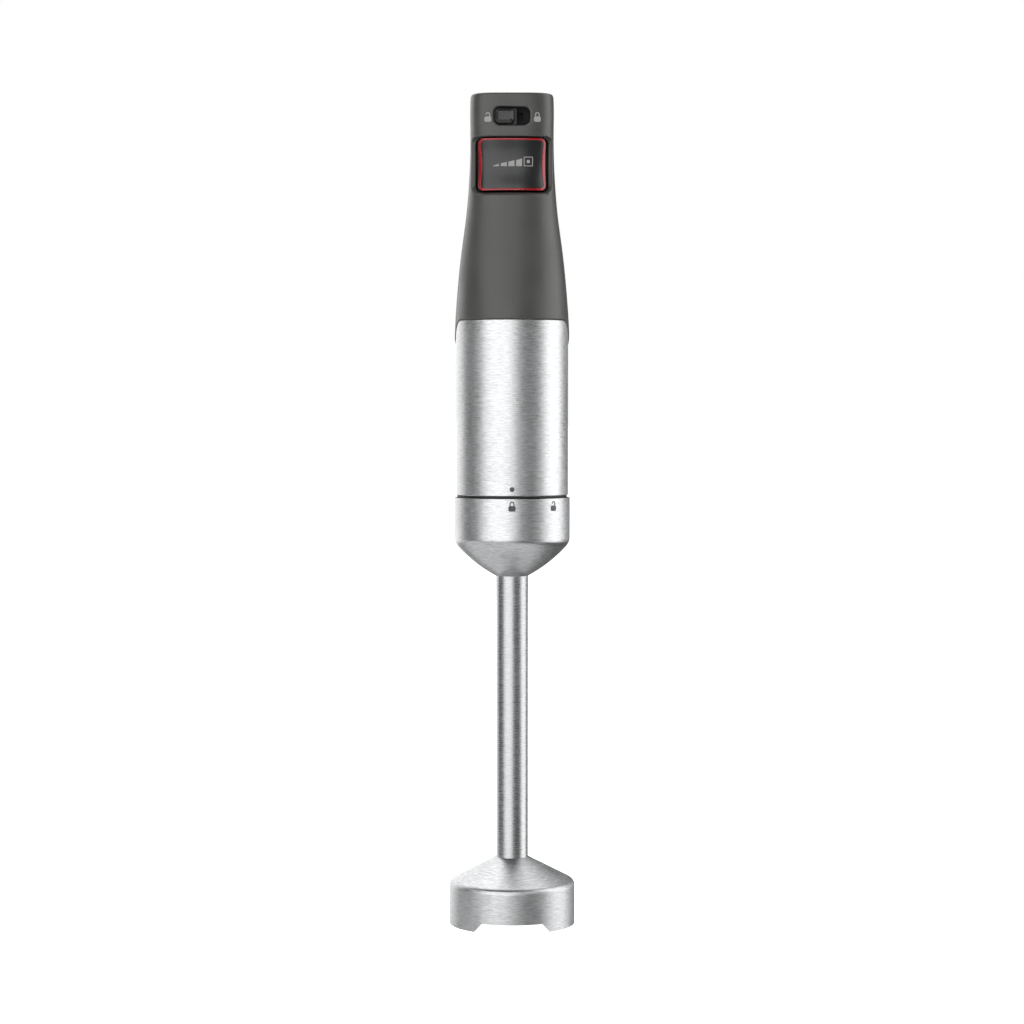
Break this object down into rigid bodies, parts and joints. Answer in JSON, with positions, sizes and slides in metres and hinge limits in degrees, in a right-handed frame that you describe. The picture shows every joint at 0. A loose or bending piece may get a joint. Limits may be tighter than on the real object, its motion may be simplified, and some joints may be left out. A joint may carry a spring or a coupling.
{
  "type": "cordless immersion blender",
  "caption": "Stick blender with motor handle, sprung speed trigger, sliding safety lock, twist-off steel wand and bladed guard.",
  "frame": {"origin": "centre of the blade guard's rim, on the plane the blender stands on", "axes": "+Z along the wand up to the handle, -Y towards the controls, +X to the right seen from the controls"},
  "size_m": [0.063, 0.063, 0.4133],
  "materials": {
    "grip_plastic": "fine matt grain, warm dark grey",
    "cap_plastic": "fine matt grain",
    "flap_rubber": "matt soft rubber",
    "key_plastic": "satin near-black",
    "ring_plastic": "translucent red",
    "knob_plastic": "satin black",
    "black_plastic": "moulded black",
    "white_plastic": "moulded natural acetal",
    "board": "green circuit board",
    "cell_wrap": "blue sleeve on a metal can, given a light metal's density",
    "pin_steel": "ground",
    "plated_steel": "zinc plated",
    "sleeve_steel": "brushed round the axis",
    "collar_steel": "brushed round the axis",
    "tube_steel": "fine brushed",
    "guard_steel": "spun and brushed round the axis",
    "blade_steel": "ground edges",
    "gasket_rubber": "black",
    "bearing_bronze": "sintered bronze",
    "magnet": "ferrite",
    "carbon": "carbon",
    "copper": "enamelled copper"
  },
  "bodies": {
    "motor_unit": {"handle_front_shell": "grip_plastic", "handle_back_shell": "grip_plastic", "top_cap": "cap_plastic", "flap_pin": "pin_steel", "lock_guide": "black_plastic", "control_board": "board", "charging_board": "board", "trigger_sensor": "black_plastic", "lock_switch": "black_plastic", "charging_socket": "plated_steel", "battery_cells": "cell_wrap", "battery_contacts": "plated_steel", "battery_holder": "black_plastic", "motor_sleeve": "sleeve_steel", "seam_gasket": "gasket_rubber", "bayonet_socket": "black_plastic", "motor_mount": "black_plastic", "motor_screws": "plated_steel", "socket_screws": "plated_steel", "motor_can": "plated_steel", "motor_end_bell": "black_plastic", "motor_bearings": "bearing_bronze", "motor_magnets": "magnet", "motor_brushes": "carbon"},
    "trigger": {"trigger_key": "key_plastic", "trigger_light_ring": "ring_plastic", "trigger_plunger": "black_plastic", "trigger_clips": "pin_steel", "trigger_springs": "pin_steel"},
    "lock": {"lock_knob": "knob_plastic", "lock_carriage": "black_plastic"},
    "flap": {"port_flap": "flap_rubber"},
    "rotor": {"rotor_core": "plated_steel", "rotor_windings": "copper", "commutator": "copper", "motor_shaft": "pin_steel", "drive_dog": "black_plastic"},
    "wand": {"wand_collar": "collar_steel", "collar_insert": "black_plastic", "bayonet_lug_ring": "black_plastic", "wand_tube": "tube_steel", "upper_bushing": "bearing_bronze", "blade_guard": "guard_steel", "bearing_housing": "white_plastic", "lower_bushing": "bearing_bronze", "shaft_seal": "gasket_rubber"},
    "blade_drive": {"blade_shaft": "pin_steel", "driven_dog": "white_plastic", "blade_spacer": "pin_steel", "blade": "blade_steel", "blade_nut": "pin_steel"}
  },
  "joints": [
    {"name": "trigger_press", "type": "slide", "parent": "motor_unit", "child": "trigger", "axis": [0, 1, 0], "range_m": [0, 0.0025], "stiffness_N_per_m": 1200, "springref_m": -0.002, "deforming": ["trigger_springs"]},
    {"name": "lock_slide", "type": "slide", "parent": "motor_unit", "child": "lock", "axis": [1, 0, 0], "range_m": [0, 0.0073]},
    {"name": "port_flap_hinge", "type": "hinge", "parent": "motor_unit", "child": "flap", "pos_m": [0, 0.01855, 0.39325], "axis": [-1, 0, 0], "range_deg": [0, 90]},
    {"name": "wand_twist", "type": "hinge", "parent": "motor_unit", "child": "wand", "pos_m": [0, 0, 0.2], "axis": [0, 0, 1], "range_deg": [-45, 0]},
    {"name": "rotor_spin", "type": "hinge", "parent": "motor_unit", "child": "rotor", "pos_m": [0, 0, 0.25], "axis": [0, 0, 1], "continuous": true},
    {"name": "blade_spin", "type": "hinge", "parent": "motor_unit", "child": "blade_drive", "pos_m": [0, 0, 0.1], "axis": [0, 0, 1], "continuous": true}
  ],
  "couplings": [
    {"joint": "blade_spin", "follows": "rotor_spin", "ratio": 1}
  ]
}
